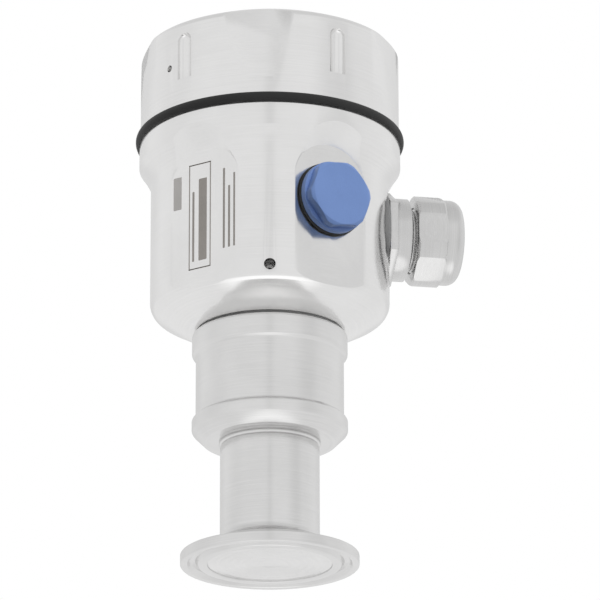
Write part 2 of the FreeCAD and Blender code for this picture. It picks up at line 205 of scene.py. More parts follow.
def applyModifier(piece, kind, settings):
    makeActive(piece)
    modifier = piece.modifiers.new(kind.lower(), kind)
    for name, value in settings.items():
        setattr(modifier, name, value)
    bpy.ops.object.modifier_apply(modifier=modifier.name)


def cutAway(piece, *cutters, how="DIFFERENCE"):
    for cutter in cutters:
        applyModifier(piece, "BOOLEAN", {"operation": how, "object": cutter, "solver": "EXACT"})
        bpy.data.objects.remove(cutter)


def tidyCuts(piece, angle=0.5):
    # clears the slivers that boolean cuts leave
    openEdit(piece)
    selectAll()
    bpy.ops.mesh.remove_doubles(threshold=mergeSet["cuts"] * mm)
    bpy.ops.mesh.dissolve_limited(angle_limit=math.radians(angle))
    closeEdit()


def mergeNear(piece):
    openEdit(piece)
    selectAll()
    bpy.ops.mesh.remove_doubles(threshold=mergeSet["seam"] * mm)
    closeEdit()


def softenEdges(piece, width, segments=2, angle=30):
    applyModifier(piece, "BEVEL", {"width": width * mm, "segments": segments, "limit_method": "ANGLE",
                                   "angle_limit": math.radians(angle), "use_clamp_overlap": True,
                                   "harden_normals": False, "miter_outer": "MITER_ARC"})


def roundEdge(piece, test, width, segments=5):
    mesh = openEdit(piece, "EDGE")
    pick(mesh, mesh.edges, test)
    bpy.ops.mesh.bevel(offset=width * mm, segments=segments, profile=0.5, affect="EDGES")
    closeEdit()


def finishPiece(piece, finish, body, slot, *replaced, angle=32):
    makeActive(piece)
    bpy.ops.object.shade_smooth_by_angle(angle=math.radians(angle))
    piece.data.materials.clear()
    piece.data.materials.append(finish)
    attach(piece, body)
    if replaced:
        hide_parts(*replaced)
    return piece


# shader helpers

class Wire:
    def __init__(self, tree, out=None):
        self.tree = tree
        self.out = out

    def add(self, kind, settings=None, sockets=None, output=0):
        node = self.tree.nodes.new(kind)
        for name, value in (settings or {}).items():
            setattr(node, name, value)
        for name, value in (sockets or {}).items():
            if isinstance(value, Wire):
                self.tree.links.new(value.out, node.inputs[name])
            else:
                node.inputs[name].default_value = value
        return Wire(self.tree, node.outputs[output])

    def calc(self, operation, other=0.0, swap=False):
        first, second = (other, self) if swap else (self, other)
        return self.add("ShaderNodeMath", {"operation": operation}, {0: first, 1: second})

    def __add__(self, other):
        return self.calc("ADD", other)

    def __sub__(self, other):
        return self.calc("SUBTRACT", other)

    def __rsub__(self, other):
        return self.calc("SUBTRACT", other, swap=True)

    def __mul__(self, other):
        return self.calc("MULTIPLY", other)

    def __pow__(self, other):
        return self.calc("POWER", other)

    def __lt__(self, other):
        return self.calc("LESS_THAN", other)

    __radd__ = __add__
    __rmul__ = __mul__

    def soft(self, low, high):
        return self.add("ShaderNodeMapRange", {"interpolation_type": "SMOOTHSTEP"},
                        {"Value": self, "From Min": low, "From Max": high})

    def tint(self, first, second):
        return self.add("ShaderNodeMix", {"data_type": "RGBA"},
                        {0: self, 6: first, 7: second}, output=2)


def newFinish(name, constants, build):
    finish = bpy.data.materials.new(name)
    finish.use_nodes = True
    tree = finish.node_tree
    shader = next(n for n in tree.nodes if n.type == "BSDF_PRINCIPLED")
    for socket, value in constants.items():
        shader.inputs[socket].default_value = value
    place = Wire(tree).add("ShaderNodeTexCoord", output=3)
    for socket, wire in build(place).items():
        tree.links.new(wire.out, shader.inputs[socket])
    return finish


def grey(value, warm=0.0):
    return (value * (1 + warm), value, value * (1 - warm), 1)


def noise(place, scale, detail=3.0, rough=0.5):
    return place.add("ShaderNodeTexNoise", None,
                     {"Vector": place, "Scale": scale, "Detail": detail, "Roughness": rough})


def parts(place):
    split = place.add("ShaderNodeSeparateXYZ", None, {"Vector": place})
    tree = place.tree
    node = split.out.node
    return [Wire(tree, node.outputs[n]) for n in range(3)]


def bump(height, strength, distance):
    return height.add("ShaderNodeBump", None, {"Height": height, "Strength": strength, "Distance": distance})


turnedSet = {"glandAxis": 0.0995, "along": 60.0, "clouds": 55.0, "fine": 900.0, "warm": 0.004,
             "depth": 0.00004}
steelLook = {"bright": 0.86, "dark": 0.80, "rough": 0.17, "roughSpan": 0.07, "grain": 5200.0, "bump": 0.06}


def steelFinish(name, axis, look):
    # turned steel: fine rings round the axis, with faint clouds and a varying polish
    s = turnedSet

    def build(place):
        x, y, z = parts(place)
        across = {"Z": (x, y, z), "X": (y, z - s["glandAxis"], x)}[axis]
        radius = (across[0] * across[0] + across[1] * across[1]) ** 0.5
        rings = place.add("ShaderNodeCombineXYZ", None,
                          {"X": radius * look["grain"], "Y": across[2] * look["grain"],
                           "Z": across[0] * s["along"]})
        grain = noise(rings, 1.0, 2.0, 0.6)
        clouds = noise(place, s["clouds"], 4.0, 0.55)
        fine = noise(place, s["fine"], 2.0, 0.5)
        shade = (clouds * 0.55 + grain * 0.45).soft(0.3, 0.7)
        rough = look["rough"] + (clouds - 0.5) * look["roughSpan"] + (grain - 0.5) * look["roughSpan"]
        return {"Base Color": shade.tint(grey(look["dark"], s["warm"]), grey(look["bright"], s["warm"])),
                "Roughness": rough,
                "Normal": bump(grain * 0.7 + fine * 0.3, look["bump"], s["depth"])}
    return newFinish(name, {"Metallic": 1.0}, build)


satinSteel = steelFinish("satinSteel", "Z", steelLook)
stemLook = {"bright": 0.79, "dark": 0.71, "rough": 0.22, "roughSpan": 0.08, "grain": 4600.0, "bump": 0.08}
stemSteel = steelFinish("stemSteel", "Z", stemLook)
nickelLook = {"bright": 0.72, "dark": 0.62, "rough": 0.20, "roughSpan": 0.08, "grain": 4200.0, "bump": 0.08}
nickelPlate = steelFinish("nickelPlate", "X", nickelLook)
foilLook = {"bright": 0.85, "dark": 0.76, "rough": 0.22, "roughSpan": 0.08, "grain": 7000.0, "bump": 0.06}
foilSteel = steelFinish("foilSteel", "Z", foilLook)
screwLook = {"bright": 0.62, "dark": 0.50, "rough": 0.30, "roughSpan": 0.10, "grain": 6000.0, "bump": 0.08}
screwSteel = steelFinish("screwSteel", "Z", screwLook)


def mouldedFinish(name, dark, light, rough, grain, depth, constants=None):
    # moulded plastic or rubber: fine spark-eroded texture and slight flow clouds
    def build(place):
        clouds = noise(place, 70.0, 3.0, 0.5)
        pits = noise(place, grain, 2.0, 0.6)
        return {"Base Color": (clouds * 0.6 + pits * 0.4).soft(0.3, 0.7).tint(dark, light),
                "Roughness": rough + (pits - 0.5) * 0.12 + (clouds - 0.5) * 0.10,
                "Normal": bump(pits, 0.25, depth)}
    return newFinish(name, constants or {}, build)


rubberShine = {"Specular IOR Level": 0.35}
blackRubber = mouldedFinish("blackRubber", grey(0.012), grey(0.024), 0.55, 2600.0, 0.00003, rubberShine)
bluePlastic = mouldedFinish("bluePlastic", (0.162, 0.270, 0.575, 1), (0.187, 0.307, 0.644, 1), 0.42, 3000.0,
                            0.00002, {"Specular IOR Level": 0.45})
greyPlastic = mouldedFinish("greyPlastic", grey(0.10), grey(0.13), 0.5, 2600.0, 0.00002)
keyPlastic = mouldedFinish("keyPlastic", grey(0.03), grey(0.045), 0.45, 2600.0, 0.00002)
whitePlastic = mouldedFinish("whitePlastic", grey(0.70), grey(0.78), 0.45, 2600.0, 0.00002)
terminalPlastic = mouldedFinish("terminalPlastic", (0.03, 0.16, 0.06, 1), (0.04, 0.20, 0.08, 1), 0.45, 2600.0,
                                0.00002)
leadSheath = mouldedFinish("leadSheath", grey(0.05), grey(0.07), 0.55, 2200.0, 0.00003)
gasketRubber = mouldedFinish("gasketRubber", grey(0.22), grey(0.28), 0.55, 2600.0, 0.00003, rubberShine)
etchDark = mouldedFinish("etchDark", grey(0.38, 0.07), grey(0.49, 0.07), 0.6, 3000.0, 0.00001,
                         {"Metallic": 0.2})
etchPale = mouldedFinish("etchPale", grey(0.53, 0.03), grey(0.63, 0.03), 0.6, 3000.0, 0.00001,
                         {"Metallic": 0.5})


boardLook = {"tracks": 330.0, "gap": 0.035, "length": 2.4, "pitch": 0.5, "pads": 420.0, "padSize": 0.16}


def boardBuild(place):
    # solder resist over copper tracks that run along x and y, with plated pads
    look = boardLook
    cells = place.add("ShaderNodeTexBrick", {"offset": 0.5},
                      {"Vector": place, "Scale": look["tracks"], "Mortar Size": look["gap"],
                       "Brick Width": look["length"], "Row Height": look["pitch"]}, output=1)
    pads = place.add("ShaderNodeTexVoronoi", {"feature": "F1"}, {"Vector": place, "Scale": look["pads"]})
    pad = pads < look["padSize"]
    resist = noise(place, 60.0, 3.0).soft(0.3, 0.7).tint((0.010, 0.085, 0.030, 1), (0.014, 0.115, 0.042, 1))
    tracks = cells.tint(resist, (0.030, 0.190, 0.075, 1))
    return {"Base Color": pad.tint(tracks, (0.62, 0.55, 0.35, 1)),
            "Roughness": 0.34 + noise(place, 300.0) * 0.12,
            "Metallic": pad * 0.9,
            "Normal": bump(cells + pad, 0.3, 0.00003)}


boardResist = newFinish("boardResist", {}, boardBuild)
print("finishes made:", len(bpy.data.materials))


# process connection: ferrule, foil, neck and seals

ferruleSet = {"rim": 25.25, "rimHeight": 2.9, "taper": 20.0, "stem": 14.1, "fillet": 2.1, "top": 36.0,
              "groove": 21.75, "grooveHalf": 1.6, "grooveDepth": 1.4, "pocket": 17.55, "pocketDepth": 0.8,
              "weldGroove": 0.7, "tenon": 11.0, "tenonTop": 42.0, "hole": 1.25, "edge": 0.25}


def makeFerrule(s):
    backTop = s["rimHeight"] + (s["rim"] - s["stem"]) * math.tan(math.radians(s["taper"]))
    half = s["grooveHalf"]
    grooveZ = s["top"] - s["weldGroove"]
    outline = [(s["hole"], s["pocketDepth"]), (s["pocket"], s["pocketDepth"]), (s["pocket"], 0),
               (s["groove"] - half, 0), (s["groove"] - half / 2, s["grooveDepth"]),
               (s["groove"] + half / 2, s["grooveDepth"]), (s["groove"] + half, 0),
               (s["rim"], 0), (s["rim"], s["rimHeight"]), (s["stem"], backTop),
               (s["stem"], grooveZ - s["weldGroove"]), (s["stem"] - s["weldGroove"], grooveZ),
               (s["stem"] - s["weldGroove"], s["top"]), (s["tenon"], s["top"]), (s["tenon"], s["tenonTop"]),
               (s["hole"], s["tenonTop"])]
    piece = turnPiece("ferruleBody", outline)

    def innerCorner(centre, edge):
        return all(abs(v.co.z * 1000 - backTop) < 0.01 for v in edge.verts)

    roundEdge(piece, innerCorner, s["fillet"], 6)
    softenEdges(piece, s["edge"], 3)
    return finishPiece(piece, stemSteel, "process_connection", "steel", "ferrule")


makeFerrule(ferruleSet)

foilSet = {"radius": 17.5, "level": 0.35, "thick": 0.12, "wave": 0.10, "waves": 6, "waveSteps": 8,
           "flatRim": 1.6, "flatMiddle": 3.0}


def makeFoil(s):
    lower = []
    count = s["waveSteps"] * s["waves"]
    span = s["radius"] - s["flatRim"] - s["flatMiddle"]
    for step in range(count + 1):
        r = s["flatMiddle"] + span * step / count
        lower.append((r, s["level"] + s["wave"] * math.sin(2 * math.pi * s["waves"] * step / count)))
    lower = [(0, s["level"])] + lower + [(s["radius"], s["level"])]
    upper = [(r, z + s["thick"]) for r, z in reversed(lower)]
    piece = turnPiece("diaphragmFoil", lower + upper)
    return finishPiece(piece, foilSteel, "process_connection", "diaphragm_steel", "diaphragm")


makeFoil(foilSet)

neckSet = {"foot": 36.0, "chamfer": 3.3, "ring": 22.2, "waist": 21.1, "top": 68.2, "lowerRing": 3.0,
           "upperRing": 6.2, "slope": 1.0, "edge": 0.8, "bore": 14.0, "boreFoot": 42.0, "tenon": 11.05,
           "soft": 0.35}


def makeNeck(s):
    chamferTop = s["foot"] + s["chamfer"]
    waistFoot = chamferTop + s["lowerRing"]
    waistTop = s["top"] - s["upperRing"]
    outline = [(s["ring"] - s["chamfer"], s["foot"]), (s["ring"], chamferTop), (s["ring"], waistFoot),
               (s["waist"], waistFoot + s["slope"]), (s["waist"], waistTop - s["slope"]),
               (s["ring"], waistTop), (s["ring"], s["top"] - s["edge"]), (s["ring"] - s["edge"], s["top"]),
               (s["bore"], s["top"]), (s["bore"], s["boreFoot"]), (s["tenon"], s["boreFoot"]),
               (s["tenon"], s["foot"])]
    piece = turnPiece("neckBody", outline)
    softenEdges(piece, s["soft"], 3)
    return finishPiece(piece, stemSteel, "process_connection", "steel", "neck")


makeNeck(neckSet)

beadSet = {"radius": 13.75, "thick": 0.62, "height": 35.55, "ripples": 60, "ripple": 0.05, "crest": 0.2}


def makeWeldBead(s):
    clearSelection()
    bpy.ops.mesh.primitive_torus_add(major_segments=s["ripples"] * 3, minor_segments=10,
                                     major_radius=s["radius"] * mm, minor_radius=s["thick"] * mm,
                                     location=(0, 0, s["height"] * mm))
    piece = newPiece("weldBead")
    mesh = openEdit(piece)
    step = 2 * math.pi / s["ripples"]

    def crest(centre, vertex):
        turn = (math.atan2(centre.y, centre.x) / step) % 1.0
        return turn < s["crest"] or turn > 1 - s["crest"]

    pick(mesh, mesh.verts, crest)
    bpy.ops.transform.shrink_fatten(value=s["ripple"] * mm)
    closeEdit()
    return finishPiece(piece, stemSteel, "process_connection", "steel", angle=60)


makeWeldBead(beadSet)

turnSealSet = {"outer": 21.2, "inner": 17.05, "bottom": 68.2, "top": 68.7, "bulge": 0.1}


def makeTurnSeal(s):
    middle = (s["bottom"] + s["top"]) / 2
    lip = s["outer"] - s["bulge"]
    outline = [(s["inner"], s["bottom"]), (lip, s["bottom"]), (s["outer"], middle), (lip, s["top"]),
               (s["inner"], s["top"])]
    piece = turnPiece("turnSeal", outline)
    return finishPiece(piece, gasketRubber, "process_connection", "black_rubber", "turn_seal")


makeTurnSeal(turnSealSet)
print("process connection modelled")


# housing with its two milled flats, entries and thread

housingSet = {"foot": 68.7, "footR": 22.3, "coneTop": 75.1, "coneRound": 4.0, "wall": 34.3,
              "flareFoot": 112.0, "flareTop": 118.7, "flareRound": 3.0, "flareTurn": 22.0, "collar": 37.7,
              "collarTop": 125.3, "threadCore": 29.85, "mouth": 136.8, "chamfer": 0.8, "bore": 27.0,
              "ledge": 111.0, "cavity": 22.5, "floor": 83.0, "socket": 17.0, "entry": 99.5,
              "entryStart": 15.0, "flat": 32.2, "flatEnd": 12.0, "flatEndAt": 103.9, "flatReach": 8.0,
              "flatDown": 40.0, "labelAngle": -135.0, "plugAngle": -68.0, "plugHole": 8.0, "glandHole": 10.0,
              "spot": 15.0, "spotAt": 30.9, "lockAngle": -100.0, "lockAt": 77.9, "lockHole": 1.65,
              "lockStart": 10.0, "screwHoles": (60.0, 180.0, 240.0), "screwAt": 24.75, "screwHole": 1.25,
              "screwDepth": 6.0, "beyond": 5.0, "edge": 0.35}


def flatCutter(s, angle):
    # disc whose lower half is drawn down past the foot, and whose upper end opens out at 45 degrees
    clearSelection()
    bpy.ops.mesh.primitive_circle_add(vertices=128, radius=s["flatEnd"] * mm, fill_type="NGON",
                                      location=(0, 0, s["flat"] * mm))
    cutter = newPiece("cutter")
    mesh = openEdit(cutter)
    pick(mesh, mesh.verts, lambda centre, vertex: centre.x > 0.1)
    bpy.ops.transform.translate(value=(s["flatDown"] * mm, 0, 0))
    selectAll()
    bpy.ops.mesh.extrude_region_move(TRANSFORM_OT_translate={"value": (0, 0, s["flatReach"] * mm)})
    bpy.ops.mesh.select_all(action="DESELECT")
    mesh = bmesh.from_edit_mesh(cutter.data)
    pick(mesh, mesh.verts, lambda centre, vertex: centre.x < 0.1 and centre.z > s["flat"] + 1)
    wider = 1 + s["flatReach"] / s["flatEnd"]
    bpy.ops.transform.resize(value=(wider, wider, 1), center_override=(0, 0, 0))
    closeOutward()
    return layRadial(cutter, angle, s["flatEndAt"])


def makeHousing(s):
    # a small round off the wall, then a long one up to the collar
    turned = 180 - s["flareTurn"]
    flare = arcPoints((s["wall"] + s["flareRound"], s["flareFoot"]), s["flareRound"], 180, turned, 4)
    startR, startZ = flare[-1]
    out = s["collar"] - startR
    rise = s["flareTop"] - startZ
    half = math.atan2(out, rise) - math.radians(s["flareTurn"])
    radius = math.hypot(out, rise) / (2 * math.sin(half))
    angle = math.radians(turned)
    centre = (startR - radius * math.cos(angle), startZ - radius * math.sin(angle))
    flare += arcPoints(centre, radius, turned, turned - math.degrees(2 * half), 6)[1:]
    turn = 90 - math.degrees(math.atan2(s["coneTop"] - s["foot"], s["wall"] - s["footR"]))
    tangent = s["coneRound"] * math.tan(math.radians(turn / 2))
    coneEnd = arcPoints((s["wall"] - s["coneRound"], s["coneTop"] + tangent), s["coneRound"], -turn, 0, 8)
    outline = [(s["socket"], s["foot"]), (s["footR"], s["foot"])] + coneEnd + flare
    outline += [(s["collar"], s["collarTop"]), (s["threadCore"], s["collarTop"]),
                (s["threadCore"], s["mouth"] - s["chamfer"]), (s["threadCore"] - s["chamfer"], s["mouth"]),
                (s["bore"], s["mouth"]), (s["bore"], s["ledge"]), (s["cavity"], s["ledge"]),
                (s["cavity"], s["floor"]), (s["socket"], s["floor"])]
    piece = turnPiece("housingShell", outline, steps=160)
    for angle in (s["labelAngle"], s["plugAngle"]):
        cutAway(piece, flatCutter(s, angle))
    far = s["collar"] + s["beyond"]
    start = s["entryStart"]
    holes = ((s["spot"], s["spotAt"], 96, 0, s["entry"]), (s["glandHole"], start, 72, 0, s["entry"]),
             (s["plugHole"], start, 72, s["plugAngle"], s["entry"]),
             (s["lockHole"], s["lockStart"], 32, s["lockAngle"], s["lockAt"]))
    for radius, foot, sides, angle, height in holes:
        cutAway(piece, layRadial(barPiece("cutter", 2 * radius, foot, far, sides), angle, height))
    for angle in s["screwHoles"]:
        hole = barPiece("cutter", 2 * s["screwHole"], s["ledge"] - s["screwDepth"], s["ledge"] + 1, 24)
        moveBy(hole, (s["screwAt"], 0, 0))
        cutAway(piece, turnBy(hole, angle))
    tidyCuts(piece)
    softenEdges(piece, s["edge"], 3)
    return finishPiece(piece, satinSteel, "housing", "steel", "housing")


makeHousing(housingSet)

threadSet = {"core": 29.7, "crest": 30.45, "tooth": (0.0, 0.62, 0.88, 1.5), "pitch": 2.0, "start": 127.0,
             "turns": 4, "steps": 120}


def makeThread(s):
    # the tooth's section is carried round the mouth by a screw modifier
    clearSelection()
    bpy.ops.mesh.primitive_plane_add(size=mm)
    piece = bpy.context.object
    piece.name = "mouthThread"
    section = zip((s["core"], s["crest"], s["crest"], s["core"]), s["tooth"])
    bpy.ops.object.mode_set(mode="EDIT")
    mesh = bmesh.from_edit_mesh(piece.data)
    for vertex, (r, z) in zip(next(iter(mesh.faces)).verts, section):
        vertex.co = (r * mm, 0, (s["start"] + z) * mm)
    bmesh.update_edit_mesh(piece.data)
    selectAll()
    bpy.ops.mesh.delete(type="ONLY_FACE")
    closeEdit()
    applyModifier(piece, "SCREW", {"angle": 2 * math.pi, "screw_offset": s["pitch"] * mm,
                                   "iterations": s["turns"], "steps": s["steps"],
                                   "render_steps": s["steps"]})
    openEdit(piece)
    bpy.ops.mesh.select_non_manifold()
    bpy.ops.mesh.edge_face_add()
    closeOutward()
    return finishPiece(piece, satinSteel, "housing", "steel")


makeThread(threadSet)

lockSet = {"radius": 1.6, "tip": 17.0, "length": 8.0, "point": (0.4, 0.5), "rim": 0.3, "hex": 2.0,
           "depth": 2.0, "angle": -100.0, "height": 77.9, "edge": 0.06}


def makeLockScrew(s):
    top = s["tip"] + s["length"]
    point, rise = s["point"]
    outline = [(0, s["tip"]), (s["radius"] - point, s["tip"]), (s["radius"], s["tip"] + rise),
               (s["radius"], top - s["rim"]), (s["radius"] - s["rim"], top), (0, top)]
    piece = turnPiece("lockScrew", outline, steps=48)
    cutAway(piece, barPiece("cutter", s["hex"], top - s["depth"], top + 1, 6))
    softenEdges(piece, s["edge"], 2)
    mergeNear(piece)
    layRadial(piece, s["angle"], s["height"])
    return finishPiece(piece, screwSteel, "housing", "plain_steel", "lock_screw")


makeLockScrew(lockSet)

# plain bars on the label flat: (from, to) across the flat and (from, to) up the axis
printSet = {"angle": -135.0, "flat": 32.2, "proud": 0.03, "sunk": 0.04, "corner": 0.25, "cornerShare": 0.3,
            "line": 0.35,
            "box": (-5.4, 2.2, 79.6, 111.2), "bars": ((-4.2, -3.5, 82.0, 103.0), (-2.0, 0.8, 82.0, 106.5)),
            "lines": ((6.4, 7.1, 84.0, 108.0), (8.2, 8.9, 84.0, 102.5), (10.0, 10.6, 84.0, 106.0)),
            "block": (-10.8, -8.0, 98.6, 108.4)}


def printBar(s, span):
    left, right, bottom, top = span
    size = (top - bottom, right - left, s["proud"] + s["sunk"])
    level = s["flat"] + (s["proud"] - s["sunk"]) / 2
    bar = boxPiece("bar", size, (-(top + bottom) / 2, (left + right) / 2, level))
    corner = min(s["corner"], s["cornerShare"] * (right - left))

    def upright(centre, edge):
        return abs(edge.verts[0].co.z - edge.verts[1].co.z) > s["sunk"] * mm

    roundEdge(bar, upright, corner, 4)
    return bar


def makePrint(s):
    left, right, bottom, top = s["box"]
    line = s["line"]
    sides = [(left, right, bottom, bottom + line), (left, right, top - line, top),
             (left, left + line, bottom, top), (right - line, right, bottom, top)]
    bars = [printBar(s, span) for span in sides + list(s["bars"] + s["lines"])]
    layRadial(joinPieces(bars, "labelPrint"), s["angle"], 0)
    finishPiece(bars[0], etchDark, "housing", "key_plastic")
    block = layRadial(printBar(s, s["block"]), s["angle"], 0)
    block.name = "labelBlock"
    finishPiece(block, etchPale, "housing", "grey_plastic")


makePrint(printSet)
print("housing modelled")


# cover with five panels, flutes and crown, and its seal

coverSet = {"foot": 128.2, "side": 37.4, "rim": 133.0, "shoulder": 151.9, "round": 2.4, "dome": 10.5,
            "top": 162.4, "bore": 30.65, "boreTop": 137.4, "threadDepth": 0.55, "threadFoot": 0.6,
            "threadEnd": 0.4, "threadPitch": 2.0, "inside": 27.0, "ceiling": 155.5, "innerRound": 6.5,
            "panels": 5, "panelAt": 37.1, "panelBox": (40, 60, 60), "keepBox": (90, 90, 40), "lean": 3.3,
            "firstFlute": 3.2, "fluteR": 2.6, "fluteBed": 35.3, "fluteFoot": 136.2, "fluteEnd": 147.4,
            "sealHole": 1.0, "sealAngle": -150.0, "sealAt": 140.6, "sealDepth": 3.0, "edge": 0.6}


def makeCover(s):
    cornerR = s["side"] - s["round"]
    domeR = (cornerR ** 2 + s["dome"] ** 2 - s["round"] ** 2) / (2 * (s["dome"] - s["round"]))
    slope = math.degrees(math.asin(cornerR / (domeR - s["round"])))
    bend = s["innerRound"]
    inner = arcPoints((s["inside"] - bend, s["ceiling"] - bend), bend, 90, 0, 6)
    shoulder = arcPoints((cornerR, s["shoulder"]), s["round"], 0, 90 - slope, 10)
    dome = arcPoints((0, s["top"] - domeR), domeR, 90 - slope, 90, 16)
    rings = threadOutline(s["bore"], s["bore"] + s["threadDepth"], s["foot"] + s["threadFoot"],
                          s["boreTop"] - s["threadEnd"], s["threadPitch"])
    outline = [(0, s["ceiling"])] + inner + [(s["inside"], s["boreTop"]), (s["bore"], s["boreTop"])]
    outline += rings[::-1] + [(s["bore"], s["foot"]), (s["side"], s["foot"])]
    outline += shoulder + dome[1:-1] + [(0, s["top"])]
    piece = turnPiece("coverShell", outline, steps=160)
    pitch = 360 / s["panels"]
    deep, wide, high = s["panelBox"]
    for number in range(s["panels"]):
        angle = s["firstFlute"] + pitch * number
        panel = boxPiece("cutter", (deep, wide, high), (s["panelAt"] + deep / 2, 0, s["rim"] + high / 2))
        turnBy(panel, -s["lean"], "Y", (s["panelAt"], 0, s["rim"]))
        keep = boxPiece("keep", s["keepBox"], (s["panelAt"], 0, s["rim"] - s["keepBox"][2] / 2))
        cutAway(panel, keep)
        cutAway(piece, turnBy(panel, angle + pitch / 2))
    for number in range(s["panels"]):
        end = arcPoints((0, s["fluteEnd"]), s["fluteR"], 0, 90, 8)
        outline = [(0, s["fluteFoot"]), (s["fluteR"], s["fluteFoot"])] + end[:-1] + [(0, end[-1][1])]
        flute = turnPiece("cutter", outline, steps=48)
        moveBy(flute, (s["fluteBed"] + s["fluteR"], 0, 0))
        cutAway(piece, turnBy(flute, s["firstFlute"] + pitch * number))
    hole = barPiece("cutter", 2 * s["sealHole"], s["panelAt"] - s["sealDepth"], s["side"] + 4, 24)
    cutAway(piece, layRadial(hole, s["sealAngle"], s["sealAt"]))
    tidyCuts(piece)
    softenEdges(piece, s["edge"], 3)
    return finishPiece(piece, satinSteel, "cover", "steel", "cover")


makeCover(coverSet)

coverSealSet = {"inner": 30.65, "outer": 38.8, "bottom": 125.3, "top": 128.2, "edge": 0.97}


def makeCoverSeal(s):
    middle = (s["bottom"] + s["top"]) / 2
    half = (s["top"] - s["bottom"]) / 2
    lip = s["outer"] - s["edge"]
    bulge = [(lip + s["edge"] * math.cos(a), middle + half * math.sin(a))
             for a in [math.radians(-90 + 180 * n / 10) for n in range(11)]]
    piece = turnPiece("coverSeal", [(s["inner"], s["bottom"])] + bulge + [(s["inner"], s["top"])], steps=160)
    return finishPiece(piece, blackRubber, "cover_ring", "black_rubber", "cover_seal")


makeCoverSeal(coverSealSet)
print("cover modelled")


# blanking plug and cable gland

plugSet = {"angle": -68.0, "height": 99.5, "seat": 32.2, "seal": 33.2, "collarTop": 35.2, "headTop": 38.4,
           "shank": 7.95, "core": 7.2, "shankEnd": 22.9, "threadFoot": 0.4, "threadEnd": 0.3, "pitch": 1.5,
           "relief": 0.3, "collar": 10.4, "collarEdge": 0.25, "hex": 18.4, "turn": 40.0, "headSunk": 0.2,
           "headR": 10.0, "headTrim": (0.95, 0.55), "edge": 0.4, "sealR": 10.8, "sealBore": 8.05,
           "sealBulge": 0.5, "sealEdge": 0.3}


def makePlug(s):
    outline = [(0, s["shankEnd"])]
    outline += threadOutline(s["core"], s["shank"], s["shankEnd"] + s["threadFoot"],
                             s["seat"] - s["threadEnd"], s["pitch"])
    outline += [(s["core"] + s["relief"], s["seal"]), (s["collar"], s["seal"]),
                (s["collar"], s["collarTop"]), (0, s["collarTop"])]
    screw = turnPiece("plugBody", outline, steps=96)
    softenEdges(screw, s["collarEdge"], 2, 60)
    head = barPiece("plugHead", s["hex"], s["collarTop"] - s["headSunk"], s["headTop"], 6, s["turn"])
    reach = s["headR"]
    inset, drop = s["headTrim"]
    trim = turnPiece("trim", [(0, s["seat"]), (reach, s["seat"]), (reach, s["headTop"] - drop),
                              (reach - inset, s["headTop"]), (0, s["headTop"])], steps=96)
    cutAway(head, trim, how="INTERSECT")
    softenEdges(head, s["edge"], 3, 25)
    piece = joinPieces([screw, head], "plugBody")
    layRadial(piece, s["angle"], s["height"])
    finishPiece(piece, bluePlastic, "plug", "blue_plastic", "blanking_plug")
    middle = (s["seat"] + s["seal"]) / 2
    lip = s["sealR"] - s["sealBulge"]
    ring = turnPiece("plugSeal", [(s["sealBore"], s["seat"]), (lip, s["seat"]), (s["sealR"], middle),
                                  (lip, s["seal"]), (s["sealBore"], s["seal"])], steps=96)
    softenEdges(ring, s["sealEdge"], 3)
    layRadial(ring, s["angle"], s["height"])
    return finishPiece(ring, blackRubber, "plug", "black_rubber", "plug_seal")


makePlug(plugSet)

glandSet = {"height": 99.5, "seat": 30.9, "gasketTop": 32.9, "gasket": 14.0, "gasketBore": 10.05,
            "flangeTop": 35.4, "flangeLap": 0.4, "flangeBore": 18.7, "hex": 25.0, "barrel": 12.0,
            "barrelTop": 39.6, "shank": 9.95, "shankDepth": 0.8, "shankEnd": 22.9, "shankFoot": 0.3,
            "threadTop": 49.1, "threadFoot": 0.1, "threadEnd": 0.4, "thread": 9.5, "core": 8.75, "pitch": 1.5,
            "bore": 6.5, "sealFoot": 42.1, "sealTop": 49.05, "sealSeat": 8.0, "sealR": 7.95, "sealLead": 0.8,
            "sealFlare": 1.0, "sealDip": 1.2, "cable": 4.5, "clampTop": 51.1, "clamp": 9.45, "nutFoot": 41.4,
            "nutTop": 55.4, "nutHex": 24.8, "nutTurned": 13.2, "nutChamfer": 0.5, "nutDome": 12.35,
            "domeFoot": 49.9, "domeStep": (0.3, 0.6), "nutRound": 3.5, "mouth": 6.7, "nutBore": 9.65}


